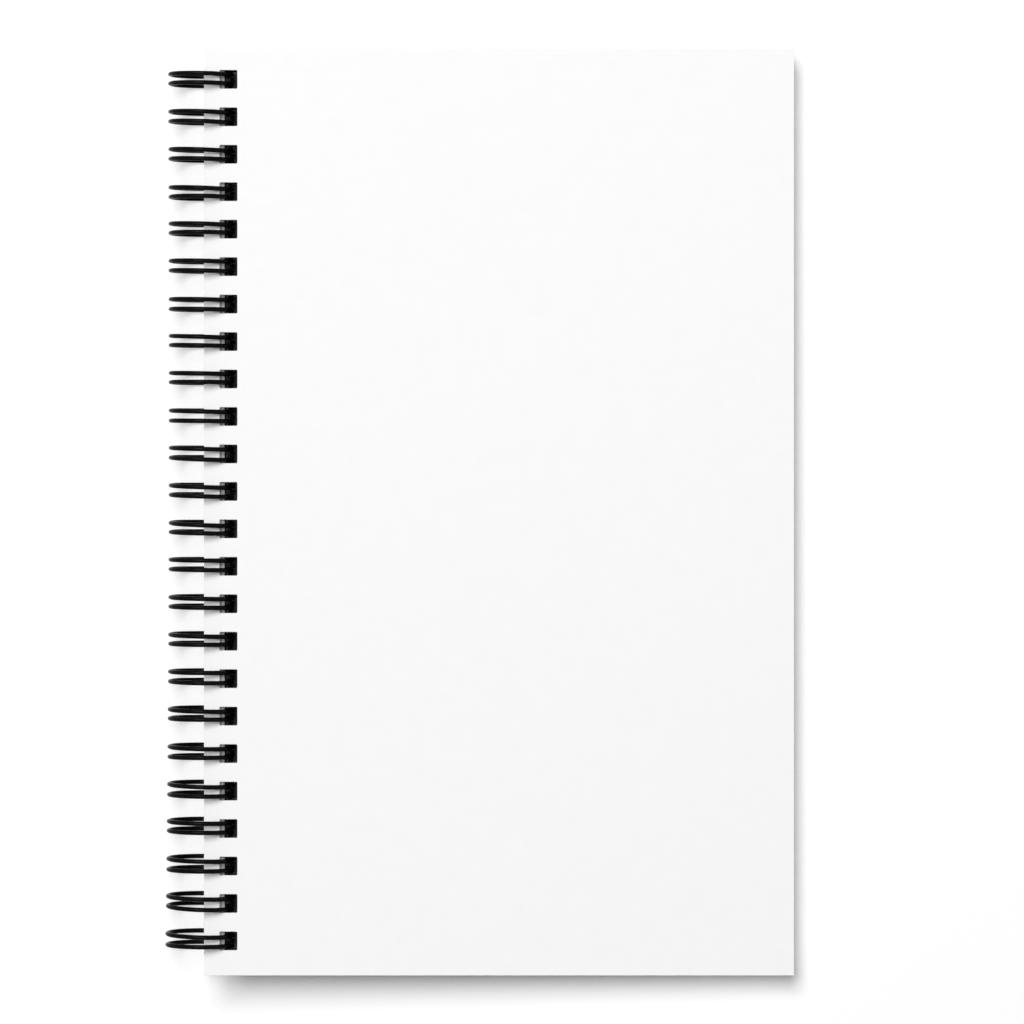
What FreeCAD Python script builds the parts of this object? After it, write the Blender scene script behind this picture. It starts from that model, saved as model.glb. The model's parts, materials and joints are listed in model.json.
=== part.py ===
import FreeCAD, Part
import math
import os

import Sketcher

Vector = FreeCAD.Vector

# A closed notebook with card covers, bound along its left edge with twin-loop wire.
# The ring axis is the common centre line of all the loops. Every piece is drawn about it:
# X runs from the ring axis to the free edge of the covers, Y up the page and Z towards the front cover.
# The rest placement then lays the notebook on its loops and on the free edge of its back cover.

SIZES = [
    ("cover_width", 133.35, "spine edge to free edge"),
    ("cover_height", 209.55, "foot to head"),
    ("card_thickness", 0.4, "front and back cover"),
    ("page_width", 131.85, "spine edge to free edge of a sheet"),
    ("page_height", 206.55, "foot to head of a sheet"),
    ("sheet_count", 70, "sheets in the page block"),
    ("sheet_thickness", 0.096, "one sheet"),
    ("front_level", 4.2, "ring axis up to the underside of the front cover"),
    ("seam_gap", 1.63, "page block to back cover at the spine, where the seam of the wire lies"),
    ("spine_offset", 0.76, "ring axis to the spine edge of covers and sheets"),
    ("hole_size", 4.0, "side of a square hole"),
    ("cover_hole_margin", 3.52, "spine edge to a hole in the covers"),
    ("page_hole_margin", 3.97, "spine edge to a hole in the sheets"),
    ("loop_count", 24, "twin loops, and holes"),
    ("loop_pitch", 8.4667, "three loops to the inch"),
    ("row_shift", 0.3, "middle of the row of loops above the middle of the covers"),
    ("wire_diameter", 1.05, "coated wire"),
    ("ring_radius", 7.075, "ring axis to the centre line of the wire"),
    ("twin_spacing", 2.1, "between the two wires of a loop"),
    ("loop_lean", 0.63, "rear of a loop stands this far above its front along Y"),
    ("bar_angle", 27.9, "degrees below X at which the bars of the seam lie"),
    ("tip_angle", 19.5, "degrees below X at which the tips of the loops end"),
    ("bend_radius", 0.9, "centre line of the tight bends of the wire"),
    ("stub_length", 1.6, "cut end of the wire beside the first and the last loop"),
    ("bow_start", 11.5, "ring axis to where the back cover starts to rise"),
    ("bow_end", 32.0, "ring axis to where the back cover lies against the pages"),
]

# Straight wire left beside each tight bend, as a multiple of the bend radius: just over the bend's reach.
STRAIGHT_PER_BEND = 1.02

# The share by which a measured volume may differ from the one worked out from the sizes.
VOLUME_TOLERANCE = 0.01

doc = FreeCAD.newDocument("spiral_notebook")
sheet = doc.addObject("Spreadsheet::Sheet", "Sizes")
for row, (alias, value, note) in enumerate(SIZES, start=1):
    sheet.set("A%d" % row, alias)
    sheet.set("B%d" % row, str(value))
    sheet.set("C%d" % row, note)
    sheet.setAlias("B%d" % row, alias)
doc.recompute()


def size(alias):
    return float(sheet.get(alias))


def origin_plane(body, role):
    for feature in body.Origin.OriginFeatures:
        if feature.Role == role:
            return feature
    raise ValueError("no origin plane " + role)


def new_sketch(body, name, role):
    sketch = body.newObject("Sketcher::SketchObject", name)
    sketch.AttachmentSupport = [(origin_plane(body, role), "")]
    sketch.MapMode = "FlatFace"
    return sketch


def bind(sketch, constraint, name, expression):
    """Adds a constraint whose value follows an expression of the sheet's cells."""
    index = sketch.addConstraint(constraint)
    sketch.renameConstraint(index, name)
    sketch.setExpression("Constraints." + name, expression)


def rectangle(sketch, left, width, below, height):
    """A rectangle by expressions: its left edge, its width, how far it reaches below X, its height."""
    corners = [Vector(1, 1, 0), Vector(2, 1, 0), Vector(2, 2, 0), Vector(1, 2, 0)]
    for i in range(4):
        sketch.addGeometry(Part.LineSegment(corners[i], corners[(i + 1) % 4]), False)
    for i in range(4):
        sketch.addConstraint(Sketcher.Constraint("Coincident", i, 2, (i + 1) % 4, 1))
    for i in (0, 2):
        sketch.addConstraint(Sketcher.Constraint("Horizontal", i))
        sketch.addConstraint(Sketcher.Constraint("Vertical", i + 1))
    bind(sketch, Sketcher.Constraint("DistanceX", 0, 1, 0, 2, 1.0), "width", width)
    bind(sketch, Sketcher.Constraint("DistanceY", 1, 1, 1, 2, 1.0), "height", height)
    bind(sketch, Sketcher.Constraint("DistanceX", -1, 1, 0, 1, 1.0), "left", left)
    bind(sketch, Sketcher.Constraint("DistanceY", 0, 1, -1, 1, 1.0), "below", below)


def punch_holes(body, margin):
    """A row of square holes through the body, from the head down, margin from its spine edge."""
    doc.recompute()
    before = body.Shape.Volume
    sketch = new_sketch(body, body.Label + "_hole_sketch", "XY_Plane")
    first = "(Sizes.loop_count - 1) / 2 * Sizes.loop_pitch + Sizes.row_shift"
    rectangle(
        sketch,
        "Sizes.spine_offset + " + margin,
        "Sizes.hole_size",
        "Sizes.hole_size / 2 - (" + first + ")",
        "Sizes.hole_size",
    )
    hole = body.newObject("PartDesign::Pocket", body.Label + "_hole")
    hole.Profile = sketch
    hole.Type = "ThroughAll"
    hole.Midplane = True
    doc.recompute()
    row = body.newObject("PartDesign::LinearPattern", body.Label + "_hole_row")
    row.Originals = [hole]
    row.Direction = (sketch, ["V_Axis"])
    row.Reversed = True
    row.setExpression("Length", "(Sizes.loop_count - 1) * Sizes.loop_pitch")
    row.setExpression("Occurrences", "Sizes.loop_count")
    body.Tip = row
    doc.recompute()
    return before - body.Shape.Volume


def flat_body(name, width, height, level, thickness, margin):
    """A flat punched piece: a cover, or the whole stack of sheets."""
    body = doc.addObject("PartDesign::Body", name)
    body.Label = name
    sketch = new_sketch(body, name + "_outline", "XY_Plane")
    sketch.setExpression(".AttachmentOffset.Base.z", level)
    rectangle(sketch, "Sizes.spine_offset", width, height + " / 2", height)
    pad = body.newObject("PartDesign::Pad", name + "_pad")
    pad.Profile = sketch
    pad.setExpression("Length", thickness)
    doc.recompute()
    removed = punch_holes(body, margin)
    return body, removed


def bowed_profile(sketch):
    """Long section of the back cover: low at the spine, then two equal arcs up to the last page."""
    card = size("card_thickness")
    low = size("front_level") - size("sheet_count") * size("sheet_thickness") - size("seam_gap") - card
    rise = size("seam_gap")
    start = size("bow_start")
    end = size("bow_end")
    left = size("spine_offset")
    right = left + size("cover_width")
    turn = 2 * math.atan(rise / (end - start))
    radius = (end - start) / (2 * math.sin(turn)) + card / 2
    tight = radius - card
    centre_low = Vector(start, low + radius, 0)
    centre_high = Vector(end, low + rise - tight, 0)
    down = -math.pi / 2
    up = math.pi / 2
    lines = [
        Part.LineSegment(Vector(left, low, 0), Vector(start, low, 0)),
        Part.LineSegment(Vector(end, low + rise, 0), Vector(right, low + rise, 0)),
        Part.LineSegment(Vector(right, low + rise, 0), Vector(right, low + rise + card, 0)),
        Part.LineSegment(Vector(right, low + rise + card, 0), Vector(end, low + rise + card, 0)),
        Part.LineSegment(Vector(start, low + card, 0), Vector(left, low + card, 0)),
        Part.LineSegment(Vector(left, low + card, 0), Vector(left, low, 0)),
    ]
    normal = Vector(0, 0, 1)
    arcs = [
        Part.ArcOfCircle(Part.Circle(centre_low, normal, radius), down, down + turn),
        Part.ArcOfCircle(Part.Circle(centre_high, normal, tight), up, up + turn),
        Part.ArcOfCircle(Part.Circle(centre_high, normal, radius), up, up + turn),
        Part.ArcOfCircle(Part.Circle(centre_low, normal, tight), down, down + turn),
    ]
    foot, sole, edge, face, heel, spine = range(6)
    low_out, high_in, high_out, low_in = range(6, 10)
    sketch.addGeometry(lines + arcs, False)
    sketch.addConstraint([
        Sketcher.Constraint("Horizontal", foot),
        Sketcher.Constraint("Horizontal", sole),
        Sketcher.Constraint("Horizontal", face),
        Sketcher.Constraint("Horizontal", heel),
        Sketcher.Constraint("Vertical", edge),
        Sketcher.Constraint("Vertical", spine),
        Sketcher.Constraint("Coincident", sole, 2, edge, 1),
        Sketcher.Constraint("Coincident", edge, 2, face, 1),
        Sketcher.Constraint("Coincident", heel, 2, spine, 1),
        Sketcher.Constraint("Coincident", spine, 2, foot, 1),
        Sketcher.Constraint("Tangent", foot, 2, low_out, 1),
        Sketcher.Constraint("Tangent", low_out, 2, high_in, 2),
        Sketcher.Constraint("Tangent", high_in, 1, sole, 1),
        Sketcher.Constraint("Tangent", face, 2, high_out, 1),
        Sketcher.Constraint("Tangent", high_out, 2, low_in, 2),
        Sketcher.Constraint("Tangent", low_in, 1, heel, 1),
        Sketcher.Constraint("Coincident", low_out, 3, low_in, 3),
        Sketcher.Constraint("Coincident", high_in, 3, high_out, 3),
        Sketcher.Constraint("Equal", low_out, high_out),
    ])
    bind(sketch, Sketcher.Constraint("DistanceX", -1, 1, foot, 1, left), "left", "Sizes.spine_offset")
    width = right - left
    bind(sketch, Sketcher.Constraint("DistanceX", foot, 1, sole, 2, width), "width", "Sizes.cover_width")
    bind(sketch, Sketcher.Constraint("DistanceX", -1, 1, foot, 2, start), "bow_start", "Sizes.bow_start")
    bind(sketch, Sketcher.Constraint("DistanceX", -1, 1, sole, 1, end), "bow_end", "Sizes.bow_end")
    bind(sketch, Sketcher.Constraint("DistanceY", foot, 1, spine, 1, card), "card", "Sizes.card_thickness")
    bind(sketch, Sketcher.Constraint("DistanceY", foot, 1, sole, 2, rise), "rise", "Sizes.seam_gap")
    level = "Sizes.sheet_count * Sizes.sheet_thickness + Sizes.seam_gap - Sizes.front_level"
    bind(sketch, Sketcher.Constraint("DistanceY", spine, 1, -1, 1, -low - card), "level", level)


def make_back_cover():
    body = doc.addObject("PartDesign::Body", "back_cover")
    body.Label = "back_cover"
    sketch = new_sketch(body, "back_cover_section", "XZ_Plane")
    bowed_profile(sketch)
    pad = body.newObject("PartDesign::Pad", "back_cover_pad")
    pad.Profile = sketch
    pad.Midplane = True
    pad.setExpression("Length", "Sizes.cover_height")
    doc.recompute()
    removed = punch_holes(body, "Sizes.cover_hole_margin")
    return body, removed


def on_ring(angle, y):
    """Point of a leaning loop's centre line, angle in degrees above X about the ring axis."""
    radius = size("ring_radius")
    lean = math.asin(size("loop_lean") / (2 * radius))
    across = radius * math.cos(math.radians(angle))
    along = radius * math.sin(math.radians(angle))
    return Vector(across, y - along * math.sin(lean), along * math.cos(lean))


def ring_direction(angle):
    """Unit tangent of a leaning loop towards falling angles: the loop's radius a quarter turn back."""
    return on_ring(angle - 90.0, 0.0).normalize()


def corner(before, point, after):
    """Arc of the tight bend radius tangent to both runs at a corner, with its two ends."""
    back = (before - point).normalize()
    ahead = (after - point).normalize()
    half = back.getAngle(ahead) / 2
    reach = size("bend_radius") / math.tan(half)
    middle = (back + ahead).normalize() * (size("bend_radius") / math.sin(half))
    centre = point + middle
    start = point + back * reach
    end = point + ahead * reach
    waist = centre - (back + ahead).normalize() * size("bend_radius")
    return Part.Arc(start, waist, end).toShape(), start, end


def leg(y, bar_side, tip_side):
    """One wire of a twin loop, from its bar at bar_side to its tip at tip_side, as path edges.

    The ring arc ends a little short of bar and tip. Straight pieces carry it on along its tangents
    to the corners, where the tight bends turn it into the bar and round the tip.
    """
    straight = STRAIGHT_PER_BEND * size("bend_radius")
    short_of = math.degrees(straight / size("ring_radius"))
    first = -size("bar_angle") - short_of
    last = -360.0 - size("tip_angle") + short_of
    start = on_ring(first, y)
    end = on_ring(last, y)
    bar_corner = start - ring_direction(first) * straight
    tip_corner = end + ring_direction(last) * straight
    ring = Part.Arc(start, on_ring((first + last) / 2, y), end).toShape()
    bar_bend, bar_end, ring_start = corner(bar_corner + Vector(0, bar_side, 0), bar_corner, start)
    tip_bend, ring_end, tip_end = corner(end, tip_corner, tip_corner + Vector(0, tip_side, 0))
    edges = [
        bar_bend,
        Part.LineSegment(ring_start, start).toShape(),
        ring,
        Part.LineSegment(end, ring_end).toShape(),
        tip_bend,
    ]
    return edges, bar_end, tip_end


def binding_path():
    """Centre line of the whole wire, from the cut end at the head to the one at the foot."""
    count = int(size("loop_count"))
    pitch = size("loop_pitch")
    half_twin = size("twin_spacing") / 2
    head = size("row_shift") + (count - 1) / 2 * pitch
    edges = []
    joint = None
    for number in range(count):
        middle = head - number * pitch
        down, bar_start, tip_start = leg(middle + half_twin, 1.0, -1.0)
        back, bar_end, tip_end = leg(middle - half_twin, -1.0, 1.0)
        if joint is None:
            joint = bar_start + Vector(0, size("stub_length"), 0)
        edges.append(Part.LineSegment(joint, bar_start).toShape())
        edges.extend(down)
        edges.append(Part.LineSegment(tip_start, tip_end).toShape())
        edges.extend(reversed(back))
        joint = bar_end
    edges.append(Part.LineSegment(joint, joint - Vector(0, size("stub_length"), 0)).toShape())
    return edges


def make_wire_binding():
    edges = binding_path()
    length = sum(edge.Length for edge in edges)
    path = doc.addObject("Part::Feature", "binding_path")
    path.Label = "binding_centre_line"
    path.Shape = Part.Wire(edges)
    section = doc.addObject("Part::Circle", "wire_section")
    section.Label = "wire_section"
    section.setExpression("Radius", "Sizes.wire_diameter / 2")
    start = path.Shape.OrderedVertexes[0].Point
    section.Placement = FreeCAD.Placement(start, FreeCAD.Rotation(Vector(0, 0, 1), Vector(0, 1, 0)))
    wire = doc.addObject("Part::Sweep", "wire_binding")
    wire.Label = "wire_binding"
    wire.Sections = [section]
    wire.Spine = (path, [])
    wire.Transition = "Transformed"
    wire.Solid = True
    doc.recompute()
    return wire, length


def rest_placement():
    """Lays the notebook on the undersides of its loops and on the free edge of its back cover."""
    outer = size("ring_radius") + size("wire_diameter") / 2
    right = size("spine_offset") + size("cover_width")
    stack = size("sheet_count") * size("sheet_thickness")
    underside = stack - size("front_level") + size("card_thickness")
    reach = math.hypot(right, underside)
    slope = math.asin(outer / reach) - math.atan2(underside, right)
    top = size("front_level") + size("card_thickness")
    widest = right * math.cos(slope) + top * math.sin(slope)
    base = Vector(-(widest - outer) / 2, 0, outer)
    return FreeCAD.Placement(base, FreeCAD.Rotation(Vector(0, 1, 0), math.degrees(slope))), slope


front_cover, front_removed = flat_body(
    "front_cover",
    "Sizes.cover_width",
    "Sizes.cover_height",
    "Sizes.front_level",
    "Sizes.card_thickness",
    "Sizes.cover_hole_margin",
)
page_block, page_removed = flat_body(
    "page_block",
    "Sizes.page_width",
    "Sizes.page_height",
    "Sizes.front_level - Sizes.sheet_count * Sizes.sheet_thickness",
    "Sizes.sheet_count * Sizes.sheet_thickness",
    "Sizes.page_hole_margin",
)
back_cover, back_removed = make_back_cover()
wire_binding, wire_length = make_wire_binding()

placement, slope = rest_placement()
pieces = [front_cover, page_block, back_cover, wire_binding]
for piece in pieces:
    piece.Placement = placement
doc.recompute()

# Volumes against what the sizes say: each row of holes, and the wire's section times its length.
hole_area = size("hole_size") ** 2 * size("loop_count")
stack_height = size("sheet_count") * size("sheet_thickness")
expected = [
    ("front_cover holes", front_removed, hole_area * size("card_thickness")),
    ("page_block holes", page_removed, hole_area * stack_height),
    ("back_cover holes", back_removed, hole_area * size("card_thickness")),
    ("wire_binding", wire_binding.Shape.Volume, math.pi * size("wire_diameter") ** 2 / 4 * wire_length),
]
for name, found, wanted in expected:
    print("%s volume %.3f, expected %.3f" % (name, found, wanted))
    if abs(found - wanted) > VOLUME_TOLERANCE * wanted:
        raise RuntimeError("wrong volume: " + name)
print("slope %.3f degrees, wire length %.1f mm" % (math.degrees(slope), wire_length))

for item in doc.Objects:
    if "Invalid" in item.State or "Error" in item.State:
        raise RuntimeError("failed feature: " + item.Name)
for piece in pieces:
    if piece.Shape.isNull() or not piece.Shape.isValid() or len(piece.Shape.Solids) != 1:
        raise RuntimeError("bad shape: " + piece.Label)

os.makedirs("parts", exist_ok=True)
for piece in pieces:
    piece.Shape.exportStep(os.path.join("parts", piece.Label + ".step"))
    box = piece.Shape.BoundBox
    print(piece.Label, [round(v, 3) for v in (box.XMin, box.XMax, box.YMin, box.YMax, box.ZMin, box.ZMax)])
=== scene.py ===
import json
import math
import random

import bmesh
import bpy
from mathutils import Matrix, Vector


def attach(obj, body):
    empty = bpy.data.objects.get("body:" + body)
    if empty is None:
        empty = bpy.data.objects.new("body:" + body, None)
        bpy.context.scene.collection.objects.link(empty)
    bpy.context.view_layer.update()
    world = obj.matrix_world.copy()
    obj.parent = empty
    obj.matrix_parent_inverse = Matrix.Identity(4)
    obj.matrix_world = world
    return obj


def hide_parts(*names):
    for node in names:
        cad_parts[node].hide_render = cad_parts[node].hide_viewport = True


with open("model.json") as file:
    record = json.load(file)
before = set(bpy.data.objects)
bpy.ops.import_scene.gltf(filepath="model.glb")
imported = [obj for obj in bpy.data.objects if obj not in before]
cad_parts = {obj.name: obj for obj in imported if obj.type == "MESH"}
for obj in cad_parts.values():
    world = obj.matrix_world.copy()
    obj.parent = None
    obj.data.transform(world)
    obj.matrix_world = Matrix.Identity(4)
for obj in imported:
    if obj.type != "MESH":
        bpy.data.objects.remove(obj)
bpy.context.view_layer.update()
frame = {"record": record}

MM = 0.001

# Driving sizes in millimetres and degrees, as the CAD part has them.
COVER_WIDTH = 133.35
COVER_HEIGHT = 209.55
CARD = 0.4
PAGE_WIDTH = 131.85
PAGE_HEIGHT = 206.55
SHEETS = 70
SHEET_PITCH = 0.096
FRONT_LEVEL = 4.2
SEAM_GAP = 1.63
SPINE = 0.76
HOLE = 4.0
COVER_MARGIN = 3.52
PAGE_MARGIN = 3.97
LOOPS = 24
LOOP_PITCH = 8.4667
ROW_SHIFT = 0.3
WIRE = 1.05
RING = 7.075
BAR_ANGLE = 27.9
TIP_ANGLE = 19.5
BEND = 0.9
STUB = 1.6
BOW_START = 11.5
BOW_END = 32.0

TOP_LEVEL = FRONT_LEVEL + CARD
STACK = SHEETS * SHEET_PITCH
HOLE_LEFT = SPINE + COVER_MARGIN
HEAD_LOOP = ROW_SHIFT + (LOOPS - 1) / 2 * LOOP_PITCH
LOOP_MIDDLES = [HEAD_LOOP - number * LOOP_PITCH for number in range(LOOPS)]

# The ring frame: its origin is on the ring axis, X runs across the cover, Y up the page and Z out of
# the front cover. The hinge gives its place and the resting face gives its slope.
hinge = Vector(frame["record"]["behaviour"]["joints"][0]["pos_m"])
slope = math.asin(-frame["record"]["mounts"][0]["axis"][0])
RING_FRAME = Matrix.Translation(hinge) @ Matrix.Rotation(slope, 4, "Y")


# Mesh helpers

def to_row(point):
    """Millimetres in the ring frame to metres in the row frame."""
    return RING_FRAME @ (Vector(point) * MM)


def add_object(name, data):
    item = bpy.data.objects.new(name, data)
    bpy.context.collection.objects.link(item)
    return item


def mesh_object(name, bm, material, smooth=False):
    mesh = bpy.data.meshes.new(name)
    bm.to_mesh(mesh)
    bm.free()
    for polygon in mesh.polygons:
        polygon.use_smooth = smooth
    mesh.materials.append(material)
    return add_object(name, mesh)


def new_piece(name, bm, material, body, node, smooth=False):
    """Makes the piece from a mesh in the ring frame, hangs it on its body and hides the CAD node it
    stands for.
    """
    for vert in bm.verts:
        vert.co = to_row(vert.co)
    piece = mesh_object(name, bm, material, smooth)
    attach(piece, body)
    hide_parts(node)


def rectangle(left, right, foot, head):
    """Corners, counter-clockwise."""
    return [(left, foot), (right, foot), (right, head), (left, head)]


def rounded_square(left, right, foot, head, radius, steps):
    """A square with rounded corners, counter-clockwise."""
    corners = [
        (right - radius, head - radius, 0.0),
        (left + radius, head - radius, 90.0),
        (left + radius, foot + radius, 180.0),
        (right - radius, foot + radius, 270.0),
    ]
    points = []
    for middle_x, middle_y, start in corners:
        for step in range(steps + 1):
            angle = math.radians(start + 90.0 * step / steps)
            points.append((middle_x + radius * math.cos(angle), middle_y + radius * math.sin(angle)))
    return points


def add_wall(bm, low, high, inward):
    """Faces between two closed rows of vertices, one above the other."""
    count = len(low)
    for i in range(count):
        j = (i + 1) % count
        quad = [low[i], low[j], high[j], high[i]]
        if inward:
            quad.reverse()
        bm.faces.new(quad)


def add_flat_face(bm, rows, up):
    """Fills the outline around the holes, facing up (1) or down (-1)."""
    edges = []
    for row in rows:
        for i in range(len(row)):
            edges.append(bm.edges.get((row[i], row[(i + 1) % len(row)])))
    filled = bmesh.ops.triangle_fill(bm, edges=edges, use_beauty=True, normal=(0.0, 0.0, up))
    for face in filled["geom"]:
        if isinstance(face, bmesh.types.BMFace):
            face.normal_update()
            if face.normal.z * up < 0:
                face.normal_flip()


def add_punched_sheet(bm, levels):
    """A flat sheet with holes. Each level is a pair of its loops, the outline first and then the holes,
    and its height, from the underside to the top."""
    layers = []
    for loops, height in levels:
        layers.append([[bm.verts.new((x, y, height)) for x, y in loop] for loop in loops])
    for lower, upper in zip(layers, layers[1:]):
        for number, (low, high) in enumerate(zip(lower, upper)):
            add_wall(bm, low, high, number > 0)
    add_flat_face(bm, layers[0], -1.0)
    add_flat_face(bm, layers[-1], 1.0)


# Shader helpers

# The part of a noise's range that holds nearly all of its values.
NOISE_LOW = 0.3
NOISE_HIGH = 0.7


def new_material(name):
    material = bpy.data.materials.new(name)
    material.use_nodes = True
    tree = material.node_tree
    return material, tree, tree.nodes["Principled BSDF"]


def finish_surface(shader, roughness, specular):
    shader.inputs["Roughness"].default_value = roughness
    shader.inputs["Specular IOR Level"].default_value = specular


def object_noise(tree, scale, detail, roughness):
    """Noise over the object's own coordinates; scale is in cells a metre."""
    coordinates = tree.nodes.new("ShaderNodeTexCoord")
    noise = tree.nodes.new("ShaderNodeTexNoise")
    noise.inputs["Scale"].default_value = scale
    noise.inputs["Detail"].default_value = detail
    noise.inputs["Roughness"].default_value = roughness
    tree.links.new(coordinates.outputs["Object"], noise.inputs["Vector"])
    return noise.outputs["Fac"]


def noise_colour(tree, noise, low_colour, high_colour):
    """One colour where the noise is low and another where it is high."""
    node = tree.nodes.new("ShaderNodeValToRGB")
    low, high = node.color_ramp.elements
    low.position = NOISE_LOW
    low.color = (*low_colour, 1.0)
    high.position = NOISE_HIGH
    high.color = (*high_colour, 1.0)
    tree.links.new(noise, node.inputs["Fac"])
    return node.outputs["Color"]


def bump(tree, shader, noise, strength, distance):
    """Bump from a noise; distance is in metres."""
    node = tree.nodes.new("ShaderNodeBump")
    node.inputs["Strength"].default_value = strength
    node.inputs["Distance"].default_value = distance
    tree.links.new(noise, node.inputs["Height"])
    tree.links.new(node.outputs["Normal"], shader.inputs["Normal"])


def ring_axis_value(tree, axis):
    """A coordinate in the ring frame, in millimetres, as a node output."""
    coordinates = tree.nodes.new("ShaderNodeTexCoord")
    away = tree.nodes.new("ShaderNodeVectorMath")
    away.operation = "SUBTRACT"
    away.inputs[1].default_value = hinge
    along = tree.nodes.new("ShaderNodeVectorMath")
    along.operation = "DOT_PRODUCT"
    along.inputs[1].default_value = RING_FRAME.to_3x3().col[axis] / MM
    tree.links.new(coordinates.outputs["Object"], away.inputs[0])
    tree.links.new(away.outputs["Vector"], along.inputs[0])
    return along.outputs["Value"]


def middle_distance(tree):
    """Distance from the middle of the ring axis, in metres, as a node output."""
    coordinates = tree.nodes.new("ShaderNodeTexCoord")
    away = tree.nodes.new("ShaderNodeVectorMath")
    away.operation = "DISTANCE"
    away.inputs[1].default_value = hinge
    tree.links.new(coordinates.outputs["Object"], away.inputs[0])
    return away.outputs["Value"]


def combined(tree, operation, first, second):
    """Two values through one Math node."""
    node = tree.nodes.new("ShaderNodeMath")
    node.operation = operation
    tree.links.new(first, node.inputs[0])
    tree.links.new(second, node.inputs[1])
    return node.outputs["Value"]


def multiply(tree, first, *others):
    for other in others:
        first = combined(tree, "MULTIPLY", first, other)
    return first


def step_up(tree, value, start, end, low=0.0, high=1.0):
    """Low before start, high beyond end and straight between them."""
    node = tree.nodes.new("ShaderNodeMapRange")
    node.inputs["From Min"].default_value = start
    node.inputs["From Max"].default_value = end
    node.inputs["To Min"].default_value = low
    node.inputs["To Max"].default_value = high
    tree.links.new(value, node.inputs["Value"])
    return node.outputs["Result"]


def band(tree, value, low, high, edge):
    """1 between low and high and 0 outside, over a soft edge."""
    return multiply(tree, step_up(tree, value, low - edge, low), step_up(tree, value, high + edge, high))


def window(tree, left, right, half, side_edge, end_edge):
    """1 over a rectangle of the ring frame that runs half to either side of the middle, 0 outside."""
    across = band(tree, ring_axis_value(tree, 0), left, right, side_edge)
    along = band(tree, ring_axis_value(tree, 1), -half, half, end_edge)
    return multiply(tree, across, along)


def shaded(tree, colour, tone, mask=None):
    """The colour times the tone, where the mask is 1."""
    node = tree.nodes.new("ShaderNodeMix")
    node.data_type = "RGBA"
    node.blend_type = "MULTIPLY"
    tree.links.new(colour, node.inputs["A"])
    tree.links.new(tone, node.inputs["B"])
    if mask is None:
        node.inputs["Factor"].default_value = 1.0
    else:
        tree.links.new(mask, node.inputs["Factor"])
    return node.outputs["Result"]


def mixed(tree, share, first, second):
    """The first shader where the share is 0 and the second where it is 1."""
    node = tree.nodes.new("ShaderNodeMixShader")
    tree.links.new(share, node.inputs["Fac"])
    tree.links.new(first, node.inputs[1])
    tree.links.new(second, node.inputs[2])
    return node.outputs["Shader"]


# Materials. A noise is (cells a metre, detail, roughness) and a bump is (strength, metres).
CARD_CLOUD = (260.0, 3.0, 0.55)
CARD_TONES = ((0.882, 0.882, 0.880), (0.894, 0.894, 0.892))
CARD_TOOTH = (5200.0, 2.0, 0.6)
CARD_BUMP = (0.12, 0.00002)
CARD_ROUGHNESS = 0.62
CARD_SPECULAR = 0.25

PAPER_FIBRE = (900.0, 4.0, 0.6)
PAPER_TONES = ((0.83, 0.83, 0.815), (0.87, 0.87, 0.855))
PAPER_BUMP = (0.15, 0.00003)
PAPER_ROUGHNESS = 0.85
PAPER_SPECULAR = 0.2
# Painted shade and light on the punched edges seen through the cover's holes: where they are across the
# cover and below the top sheet, where the painted shade turns almost black, and the tones of the painted
# shade and light.
HOLE_WINDOW = (HOLE_LEFT - 1.0, HOLE_LEFT + HOLE + 2.0)
HOLE_WINDOW_END = PAGE_HEIGHT / 2 - 0.5
HOLE_WINDOW_EDGE = 0.1
HOLE_WINDOW_TOP = (FRONT_LEVEL - 0.02, FRONT_LEVEL - 0.1)
HOLE_DEPTH_FROM = 5.25
HOLE_DEPTH_EDGE = 0.04
HOLE_PAINTED_SHADE_TONE = 0.02
HOLE_WALL_PAINTED_SHADE_TO_LIGHT = (0.22, 1.15)

COAT_PATCH = (700.0, 3.0, 0.5)
COAT_TONES = ((0.0015, 0.0015, 0.0016), (0.0035, 0.0035, 0.0037))
COAT_ROUGHNESS = ((0.20, 0.20, 0.20), (0.30, 0.30, 0.30))
COAT_PEEL = (2600.0, 2.0, 0.5)
COAT_BUMP = (0.10, 0.00003)
COAT_SPECULAR = 0.04


def card_material():
    """Smooth matt white card: a faint cloudy formation, a fine fibre tooth and a slight sheen."""
    material, tree, shader = new_material("cover_card")
    cloud = object_noise(tree, *CARD_CLOUD)
    tree.links.new(noise_colour(tree, cloud, *CARD_TONES), shader.inputs["Base Color"])
    bump(tree, shader, object_noise(tree, *CARD_TOOTH), *CARD_BUMP)
    finish_surface(shader, CARD_ROUGHNESS, CARD_SPECULAR)
    return material


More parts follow.
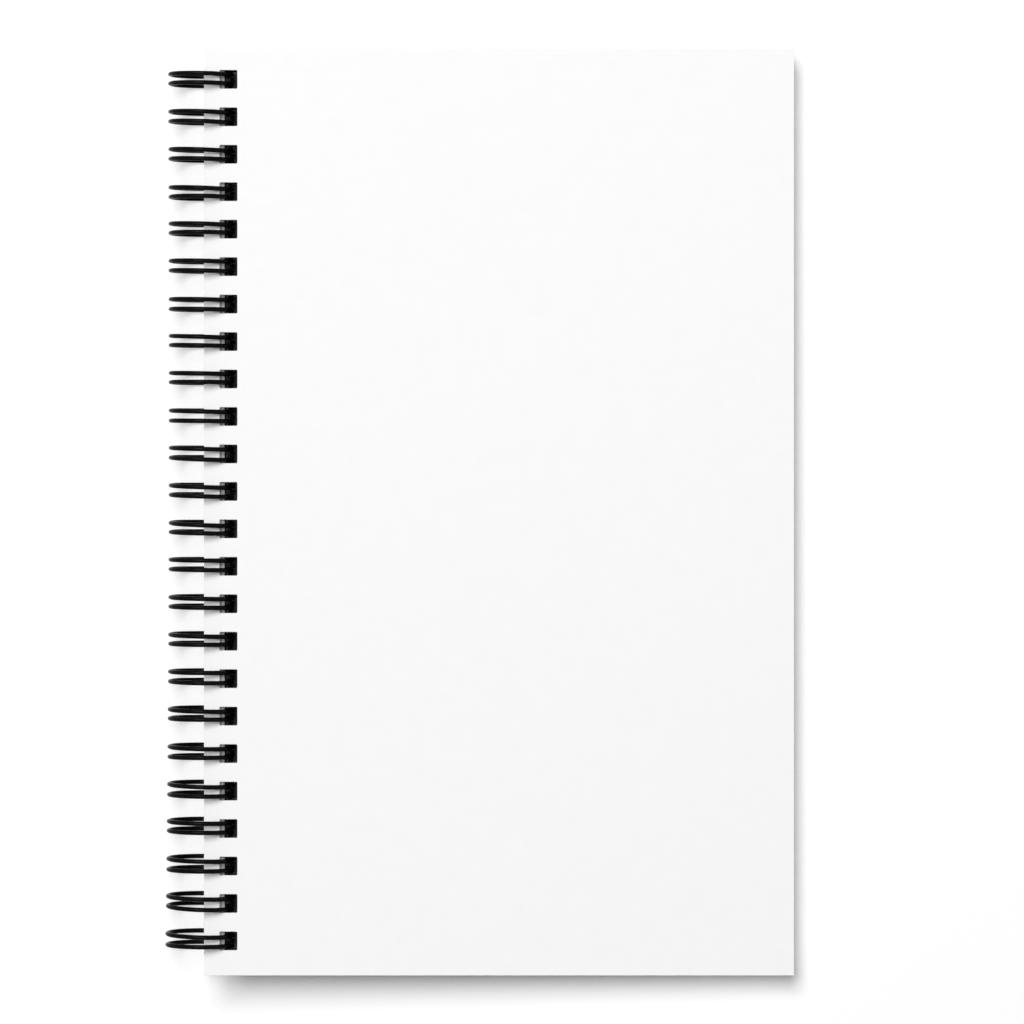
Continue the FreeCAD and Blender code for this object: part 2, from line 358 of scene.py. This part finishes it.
def paper_material():
    """Uncoated white paper: fibre mottle, and each sheet a touch lighter or darker than the next. The
    punched edges down in the holes carry painted shade that lightens across the hole to a painted light,
    and a painted shade that is almost black behind the wire."""
    material, tree, shader = new_material("page_paper")
    fibre = object_noise(tree, *PAPER_FIBRE)
    sheet = tree.nodes.new("ShaderNodeAttribute")
    sheet.attribute_name = "sheet_tone"
    paper = shaded(tree, noise_colour(tree, fibre, *PAPER_TONES), sheet.outputs["Color"])

    across = ring_axis_value(tree, 0)
    inside = multiply(
        tree,
        window(tree, *HOLE_WINDOW, HOLE_WINDOW_END, HOLE_WINDOW_EDGE, HOLE_WINDOW_EDGE),
        step_up(tree, ring_axis_value(tree, 2), *HOLE_WINDOW_TOP),
    )
    # Painted shade on the punched edges in the holes, lightening across the hole to painted light.
    wall_painted_shade = shaded(tree, paper, step_up(tree, across, HOLE_LEFT, HOLE_DEPTH_FROM, *HOLE_WALL_PAINTED_SHADE_TO_LIGHT), inside)
    # Painted shade, almost black, on the punched edges behind the wire.
    behind_wire = step_up(tree, across, HOLE_DEPTH_FROM, HOLE_DEPTH_FROM + HOLE_DEPTH_EDGE)
    painted_shade_value = tree.nodes.new("ShaderNodeValue")
    painted_shade_value.outputs["Value"].default_value = HOLE_PAINTED_SHADE_TONE
    deep_painted_shade = shaded(tree, wall_painted_shade, painted_shade_value.outputs["Value"], multiply(tree, inside, behind_wire))
    tree.links.new(deep_painted_shade, shader.inputs["Base Color"])

    bump(tree, shader, fibre, *PAPER_BUMP)
    finish_surface(shader, PAPER_ROUGHNESS, PAPER_SPECULAR)
    return material


def wire_material():
    """Black nylon-coated wire: satin, with a fine orange-peel in the coat."""
    material, tree, shader = new_material("coated_wire")
    patch = object_noise(tree, *COAT_PATCH)
    tree.links.new(noise_colour(tree, patch, *COAT_TONES), shader.inputs["Base Color"])
    tree.links.new(noise_colour(tree, patch, *COAT_ROUGHNESS), shader.inputs["Roughness"])
    bump(tree, shader, object_noise(tree, *COAT_PEEL), *COAT_BUMP)
    shader.inputs["Specular IOR Level"].default_value = COAT_SPECULAR
    return material


# Covers

HOLE_CORNER = 0.25
HOLE_CORNER_STEPS = 3
EDGE_BREAK = 0.05
# Room that the leaning wires have worn at the head side of each hole, in the covers and the sheets.
HOLE_ROOM = 0.2
BOW_CUTS = 16


def cover_loops(inset):
    """Outline and holes of a cover, with the cut edges moved into the card by inset."""
    half = COVER_HEIGHT / 2 - inset
    loops = [rectangle(SPINE + inset, SPINE + COVER_WIDTH - inset, -half, half)]
    left = HOLE_LEFT - inset
    right = HOLE_LEFT + HOLE + inset
    reach = HOLE / 2 + inset
    for middle in LOOP_MIDDLES:
        foot = middle - reach
        head = middle + reach + HOLE_ROOM
        loops.append(rounded_square(left, right, foot, head, HOLE_CORNER, HOLE_CORNER_STEPS))
    return loops


def cover_mesh(underside):
    bm = bmesh.new()
    broken = cover_loops(EDGE_BREAK)
    full = cover_loops(0.0)
    levels = [
        (broken, underside),
        (full, underside + EDGE_BREAK),
        (full, underside + CARD - EDGE_BREAK),
        (broken, underside + CARD),
    ]
    add_punched_sheet(bm, levels)
    return bm


def make_front_cover(material):
    bm = cover_mesh(FRONT_LEVEL)
    new_piece("front_card", bm, material, "front", "front_cover")


def bow_rise(x):
    """Rise of the back cover above its level at the spine: two equal arcs over the seam."""
    run = BOW_END - BOW_START
    turn = 2 * math.atan(SEAM_GAP / run)
    radius = run / (2 * math.sin(turn))
    if x <= BOW_START:
        return 0.0
    if x >= BOW_END:
        return SEAM_GAP
    if x <= (BOW_START + BOW_END) / 2:
        return radius - math.sqrt(radius ** 2 - (x - BOW_START) ** 2)
    return SEAM_GAP - radius + math.sqrt(radius ** 2 - (BOW_END - x) ** 2)


def make_back_cover(material):
    bm = cover_mesh(FRONT_LEVEL - STACK - SEAM_GAP - CARD)
    for cut in range(BOW_CUTS + 1):
        x = BOW_START + (BOW_END - BOW_START) * cut / BOW_CUTS
        geometry = list(bm.verts) + list(bm.edges) + list(bm.faces)
        bmesh.ops.bisect_plane(bm, geom=geometry, plane_co=(x, 0, 0), plane_no=(1, 0, 0))
    for vert in bm.verts:
        vert.co.z += bow_rise(vert.co.x)
    new_piece("back_card", bm, material, "back", "back_cover")


# Page block

SHEET_THICKNESS = 0.086
SHEET_SEED = 11
SHEET_JITTER = 0.045
SHEET_SLACK = 0.98
DARKEST_SHEET = 0.90
# Spine edge to hole in a single sheet: short enough that no pulled sheet shows past the front cover.
SHEET_MARGIN = 3.36


def sheet_pull(level):
    """How far a sheet is pulled towards the free edge: its holes follow the inner side of the loops."""
    inner_side = math.sqrt(RING ** 2 - level ** 2) - WIRE / 2
    return inner_side - SHEET_SLACK - (SPINE + PAGE_MARGIN)


def sheet_loops(pull, slide):
    """Outline and holes of a sheet, pulled towards the free edge and slid towards the head."""
    half = PAGE_HEIGHT / 2
    hole_left = SPINE + PAGE_MARGIN + pull
    right = SPINE + PAGE_WIDTH + pull
    loops = [rectangle(hole_left - SHEET_MARGIN, right, slide - half, slide + half)]
    for middle in LOOP_MIDDLES:
        foot = middle + slide - HOLE / 2
        head = foot + HOLE + HOLE_ROOM
        loops.append(rectangle(hole_left, hole_left + HOLE, foot, head))
    return loops


def make_page_stack(material):
    draw = random.Random(SHEET_SEED)
    bm = bmesh.new()
    tone_layer = bm.verts.layers.float_color.new("sheet_tone")
    for number in range(SHEETS):
        level = FRONT_LEVEL - STACK + number * SHEET_PITCH
        pull = sheet_pull(level) + draw.uniform(-SHEET_JITTER, SHEET_JITTER)
        slide = draw.uniform(-SHEET_JITTER, SHEET_JITTER)
        tone = draw.uniform(DARKEST_SHEET, 1.0) if number < SHEETS - 1 else 1.0
        loops = sheet_loops(pull, slide)
        first = len(bm.verts)
        add_punched_sheet(bm, [(loops, level), (loops, level + SHEET_THICKNESS)])
        bm.verts.ensure_lookup_table()
        for vert in bm.verts[first:]:
            vert[tone_layer] = (tone, tone, tone, 1.0)
    new_piece("page_stack", bm, material, "binding", "page_block")


# Wire binding. A turn is an angle about the ring axis, in degrees clockwise from X as seen from the foot.

WIRE_SIDES = 16
RING_STEPS = 60
BEND_STEPS = 6
LEAST_STEP = 0.01
# Length of the straight wire at a ring's end, before the corner of a bend, in bend radii.
STRAIGHT = 1.02
# What differs from loop to loop: a middle value and the most that a draw adds or takes, each with a seed.
LEAN_SEED = 791187
LEAN = 0.67
LEAN_SPREAD = 0.39
FLARE_SEED = 372929
FLARE = 0.19
FLARE_SPREAD = 0.19
SHIFT_SEED = 534827
SHIFT = 0.09
SHIFT_SPREAD = 0.23
TWIN_SEED = 282430
TWIN_AT_FRONT = 2.08
TWIN_SPREAD = 0.36
LEAST_TWIN_AT_SPINE = 2.15
HOLE_CLEARANCE = 0.035
HOLE_REACH = HOLE / 2 - WIRE / 2 - HOLE_CLEARANCE
BULGE_AT_FOOT = 0.75
BULGE_AT_HEAD = 0.12
TRUEST_LOOP = 10
# Turns at which a loop meets the back cover's hole at rest, the rear of the spine edge, the start of the
# fall of its lean, its far left and the front cover's hole at rest.
BACK_HOLE = 38.0
REAR = 95.0
LEAN_END = 125.0
SPINE_SIDE = 180.0
FRONT_HOLE = 322.0
BACK_HOLE_OFFSET = 0.15
# Share by which the wire is thinner at the far left, and the turn over which it thins.
TAPER = 0.15
TAPER_TURN = 22.0


def ease(value, start, end):
    """0 before start, 1 after end, smooth between."""
    share = min(1.0, max(0.0, (value - start) / (end - start)))
    return share * share * (3.0 - 2.0 * share)


def wire_offset(turn, lean):
    """Offset along Y at a turn: the rear of a loop stands above its front by the lean, and loses most of
    it at the back cover."""
    back = min(lean, BACK_HOLE_OFFSET)
    rear = back + (lean - back) * ease(turn, BACK_HOLE, REAR)
    return rear * (1.0 - ease(turn, LEAN_END, FRONT_HOLE))


def ring_point(turn, y, lean, bulge):
    """Point of a loop's centre line. The bulge stretches the ring towards the spine side only."""
    angle = math.radians(-turn)
    across = (RING + bulge * (0.5 - 0.5 * math.cos(angle)) ** 2) * math.cos(angle)
    return Vector((across, y + wire_offset(turn, lean), RING * math.sin(angle)))


def bend(before, corner, after):
    """Points of the tight bend at a corner."""
    back = (before - corner).normalized()
    ahead = (after - corner).normalized()
    half = back.angle(ahead) / 2
    reach = BEND / math.tan(half)
    start = corner + back * reach
    middle = corner + (back + ahead).normalized() * (BEND / math.sin(half))
    spoke = start - middle
    axis = back.cross(ahead)
    sweep = math.pi - 2 * half
    points = []
    for step in range(BEND_STEPS + 1):
        turned = Matrix.Rotation(-sweep * step / BEND_STEPS, 3, axis) @ spoke
        points.append(middle + turned)
    return points


def wire_leg(y, lean, bulge, bar_side, tip_side):
    """One wire of a twin loop, from the end of its bar to the start of its tip, as pairs of a point and
    the wire's thickness there."""
    straight = BEND * STRAIGHT
    short = math.degrees(straight / RING)
    first = BAR_ANGLE + short
    last = 360.0 + TIP_ANGLE - short
    ring = []
    thickness = []
    for step in range(RING_STEPS + 1):
        turn = first + (last - first) * step / RING_STEPS
        ring.append(ring_point(turn, y, lean, bulge))
        thickness.append(1.0 - TAPER * math.exp(-((turn - SPINE_SIDE) / TAPER_TURN) ** 2))
    bar_corner = ring[0] + (ring[0] - ring[1]).normalized() * straight
    tip_corner = ring[-1] + (ring[-1] - ring[-2]).normalized() * straight
    bar = bend(bar_corner + Vector((0, bar_side, 0)), bar_corner, ring[0])
    tip = bend(ring[-1], tip_corner, tip_corner + Vector((0, tip_side, 0)))
    leg = [(point, 1.0) for point in bar]
    leg += list(zip(ring, thickness))
    leg += [(point, 1.0) for point in tip]
    return leg


def loop_bulge(number):
    """The loops near the head and those towards the foot are pressed out a little on the spine side."""
    if number < TRUEST_LOOP:
        return BULGE_AT_HEAD * (1.0 - number / TRUEST_LOOP) ** 2
    return BULGE_AT_FOOT * ((number - TRUEST_LOOP) / (LOOPS - 1 - TRUEST_LOOP)) ** 2


def wire_path():
    """Centre line of the whole wire from the head to the foot, with its thickness. No two loops of the
    bent wire are quite alike, and each stays within its hole all the way round."""
    lean_draw = random.Random(LEAN_SEED)
    flare_draw = random.Random(FLARE_SEED)
    shift_draw = random.Random(SHIFT_SEED)
    twin_draw = random.Random(TWIN_SEED)
    path = []
    for number, middle in enumerate(LOOP_MIDDLES):
        lean = LEAN + LEAN_SPREAD * lean_draw.uniform(-1.0, 1.0)
        flare = FLARE + FLARE_SPREAD * flare_draw.uniform(-1.0, 1.0)
        shift = SHIFT + SHIFT_SPREAD * shift_draw.uniform(-1.0, 1.0)
        twin = TWIN_AT_FRONT + TWIN_SPREAD * twin_draw.uniform(-1.0, 1.0)
        high = min(shift + twin / 2, HOLE_REACH)
        low = max(shift - twin / 2, -HOLE_REACH)
        high_lean = min(lean + flare, HOLE_REACH + HOLE_ROOM - high)
        low_lean = min(lean - flare, high + high_lean - LEAST_TWIN_AT_SPINE - low)
        bulge = loop_bulge(number)
        down = wire_leg(middle + high, high_lean, bulge, 1.0, -1.0)
        back = wire_leg(middle + low, low_lean, bulge, -1.0, 1.0)
        if number == 0:
            path.append((down[0][0] + Vector((0, STUB, 0)), 1.0))
        path.extend(down)
        path.extend(reversed(back))
    path.append((path[-1][0] - Vector((0, STUB, 0)), 1.0))
    return path


def tube(bm, path, radius, sides):
    """A round tube along the path, with frames carried along without twist, and closed ends."""
    clean = [path[0]]
    for point, thickness in path[1:]:
        if (point - clean[-1][0]).length > LEAST_STEP:
            clean.append((point, thickness))
    tangents = []
    for i in range(len(clean)):
        ahead = clean[min(i + 1, len(clean) - 1)][0]
        behind = clean[max(i - 1, 0)][0]
        tangents.append((ahead - behind).normalized())
    side = tangents[0].orthogonal().normalized()
    rings = []
    for (point, thickness), tangent in zip(clean, tangents):
        side = (side - tangent * side.dot(tangent)).normalized()
        other = tangent.cross(side)
        ring = []
        for i in range(sides):
            angle = 2 * math.pi * i / sides
            spoke = side * math.cos(angle) + other * math.sin(angle)
            ring.append(bm.verts.new(point + spoke * radius * thickness))
        rings.append(ring)
    for low, high in zip(rings, rings[1:]):
        add_wall(bm, low, high, False)
    bm.faces.new(list(reversed(rings[0])))
    bm.faces.new(rings[-1])


def make_wire(material):
    bm = bmesh.new()
    tube(bm, wire_path(), WIRE / 2, WIRE_SIDES)
    new_piece("twin_loop_wire", bm, material, "binding", "wire_binding", smooth=True)


# Floor and world. Places on the floor are in the ring frame, in millimetres, unless said otherwise.

FLOOR_METRES = 3.0
FLOOR_COLOUR = (0.86, 0.86, 0.86, 1.0)
FLOOR_ROUGHNESS = 0.9
# Painted shade on the floor in the narrow gap under the hole row: across, to either side of the middle,
# soft edges and tone.
GAP_ACROSS = (HOLE_LEFT + 1.2, HOLE_LEFT + HOLE + 1.0)
GAP_END = 99.6
GAP_EDGES = (3.0, 4.0)
GAP_PAINTED_SHADE = 0.10
# Painted light beside the spine, which softens the shadows there: across, soft edge, the share of painted
# glow, and its tone.
SPINE_SIDE_ACROSS = (-16.0, 3.0)
SPINE_SIDE_FADE = 7.0
GLOW_SHARE = 0.5
GLOW_TONE = 0.95
# Painted light added beside the spine: less out to the left than under the spine edge.
PAINTED_LIGHT_ACROSS = (-1.3, 0.1)
PAINTED_LIGHT_TONES = (0.20, 0.35)
# Plain white far from the notebook, in metres from the middle of the ring axis.
FAR_METRES = (0.22, 0.34)
WHITE = (1.0, 1.0, 1.0, 1.0)
AMBIENT = 0.18


def background_rays(tree):
    """1 for the rays that should see the white background: camera, mirror-like and through glass."""
    path = tree.nodes.new("ShaderNodeLightPath")
    rays = path.outputs["Is Camera Ray"]
    for kind in ("Is Glossy Ray", "Is Transmission Ray"):
        rays = combined(tree, "MAXIMUM", rays, path.outputs[kind])
    return rays


def matt(tree, tone):
    node = tree.nodes.new("ShaderNodeBsdfDiffuse")
    tree.links.new(tone, node.inputs["Color"])
    return node.outputs["BSDF"]


def glow(tree, tone):
    node = tree.nodes.new("ShaderNodeEmission")
    node.inputs["Color"].default_value = (tone, tone, tone, 1.0)
    return node.outputs["Emission"]


def seen_floor(tree):
    """The floor for the rays that see the background. Close to the spine, where the photograph has it
    whiter, its shadows are softened."""
    under_holes = window(tree, *GAP_ACROSS, GAP_END, *GAP_EDGES)
    beside_spine = window(tree, *SPINE_SIDE_ACROSS, COVER_HEIGHT / 2, SPINE_SIDE_FADE, SPINE_SIDE_FADE)
    # Painted shade on the floor under the hole row.
    gap_painted_shade = step_up(tree, under_holes, 0.0, 1.0, 1.0, GAP_PAINTED_SHADE)
    # Painted light added to the floor beside the spine edge.
    spine_painted_light = step_up(tree, ring_axis_value(tree, 0), *PAINTED_LIGHT_ACROSS, *PAINTED_LIGHT_TONES)
    lit = tree.nodes.new("ShaderNodeAddShader")
    tree.links.new(matt(tree, gap_painted_shade), lit.inputs[0])
    tree.links.new(matt(tree, multiply(tree, spine_painted_light, beside_spine, gap_painted_shade)), lit.inputs[1])
    # Painted light: a glow that softens the floor's shadows beside the spine.
    painted_light_share = multiply(
        tree,
        step_up(tree, beside_spine, 0.0, 1.0, 0.0, GLOW_SHARE),
        step_up(tree, under_holes, 0.0, 1.0, 1.0, 0.0),
    )
    far_share = step_up(tree, middle_distance(tree), *FAR_METRES)
    softened = mixed(tree, painted_light_share, lit.outputs["Shader"], glow(tree, GLOW_TONE))
    return mixed(tree, far_share, softened, glow(tree, 1.0))


def make_floor():
    """A pale table under studio light, which takes the notebook's shadow."""
    material, tree, shader = new_material("floor")
    shader.inputs["Base Color"].default_value = FLOOR_COLOUR
    finish_surface(shader, FLOOR_ROUGHNESS, 0.0)
    surface = mixed(tree, background_rays(tree), shader.outputs["BSDF"], seen_floor(tree))
    tree.links.new(surface, tree.nodes["Material Output"].inputs["Surface"])
    bm = bmesh.new()
    corners = rectangle(-FLOOR_METRES, FLOOR_METRES, -FLOOR_METRES, FLOOR_METRES)
    bm.faces.new([bm.verts.new((x, y, 0.0)) for x, y in corners])
    mesh_object("floor", bm, material)


def make_world():
    """Even ambient light; the camera sees white beyond the floor."""
    world = bpy.data.worlds.new("studio")
    bpy.context.scene.world = world
    world.use_nodes = True
    tree = world.node_tree
    ambient = tree.nodes["Background"]
    white = tree.nodes.new("ShaderNodeBackground")
    for background, strength in ((ambient, AMBIENT), (white, 1.0)):
        background.inputs["Color"].default_value = WHITE
        background.inputs["Strength"].default_value = strength
    seen = mixed(tree, background_rays(tree), ambient.outputs["Background"], white.outputs["Background"])
    tree.links.new(seen, tree.nodes["World Output"].inputs["Surface"])


# Light, in metres and watts, aimed at the origin

KEY_PLACE = (-0.24, 0.66, 2.0)
KEY_SIZE = (1.2, 1.8)
KEY_POWER = 45.8


def add_key_light():
    """One large soft light above the head of the notebook."""
    data = bpy.data.lights.new("key", "AREA")
    data.shape = "ELLIPSE"
    data.size, data.size_y = KEY_SIZE
    data.energy = KEY_POWER
    lamp = add_object("key", data)
    lamp.location = KEY_PLACE
    lamp.rotation_euler = (-Vector(KEY_PLACE)).to_track_quat("-Z", "Y").to_euler()


# Camera: square on to the front cover, over the point of the cover in the middle of the picture. The
# photograph's sizes are in pixels, the rest in millimetres, and the clipping range is in metres.

PHOTO_SIZE = 1024
PHOTO_SPINE_X = 204.0
PHOTO_HEAD_Y = 48.3
PHOTO_MM_PER_PIXEL = 0.2260
CAMERA_DISTANCE = 1235.0
SENSOR = 36.0
CLIP_METRES = (0.01, 20.0)


def make_camera():
    width = PHOTO_SIZE * PHOTO_MM_PER_PIXEL
    x = SPINE + (PHOTO_SIZE / 2 - PHOTO_SPINE_X) * PHOTO_MM_PER_PIXEL
    y = COVER_HEIGHT / 2 - (PHOTO_SIZE / 2 - PHOTO_HEAD_Y) * PHOTO_MM_PER_PIXEL
    place = Matrix.Translation(to_row((x, y, TOP_LEVEL + CAMERA_DISTANCE)))
    data = bpy.data.cameras.new("camera")
    data.sensor_width = SENSOR
    data.lens = SENSOR * CAMERA_DISTANCE / width
    data.clip_start, data.clip_end = CLIP_METRES
    camera = add_object("camera", data)
    camera.matrix_world = place @ Matrix.Rotation(slope, 4, "Y")
    bpy.context.scene.camera = camera


card = card_material()
make_front_cover(card)
make_back_cover(card)
make_page_stack(paper_material())
make_wire(wire_material())
make_floor()
make_world()
add_key_light()
make_camera()
bpy.context.scene.view_settings.view_transform = "Standard"
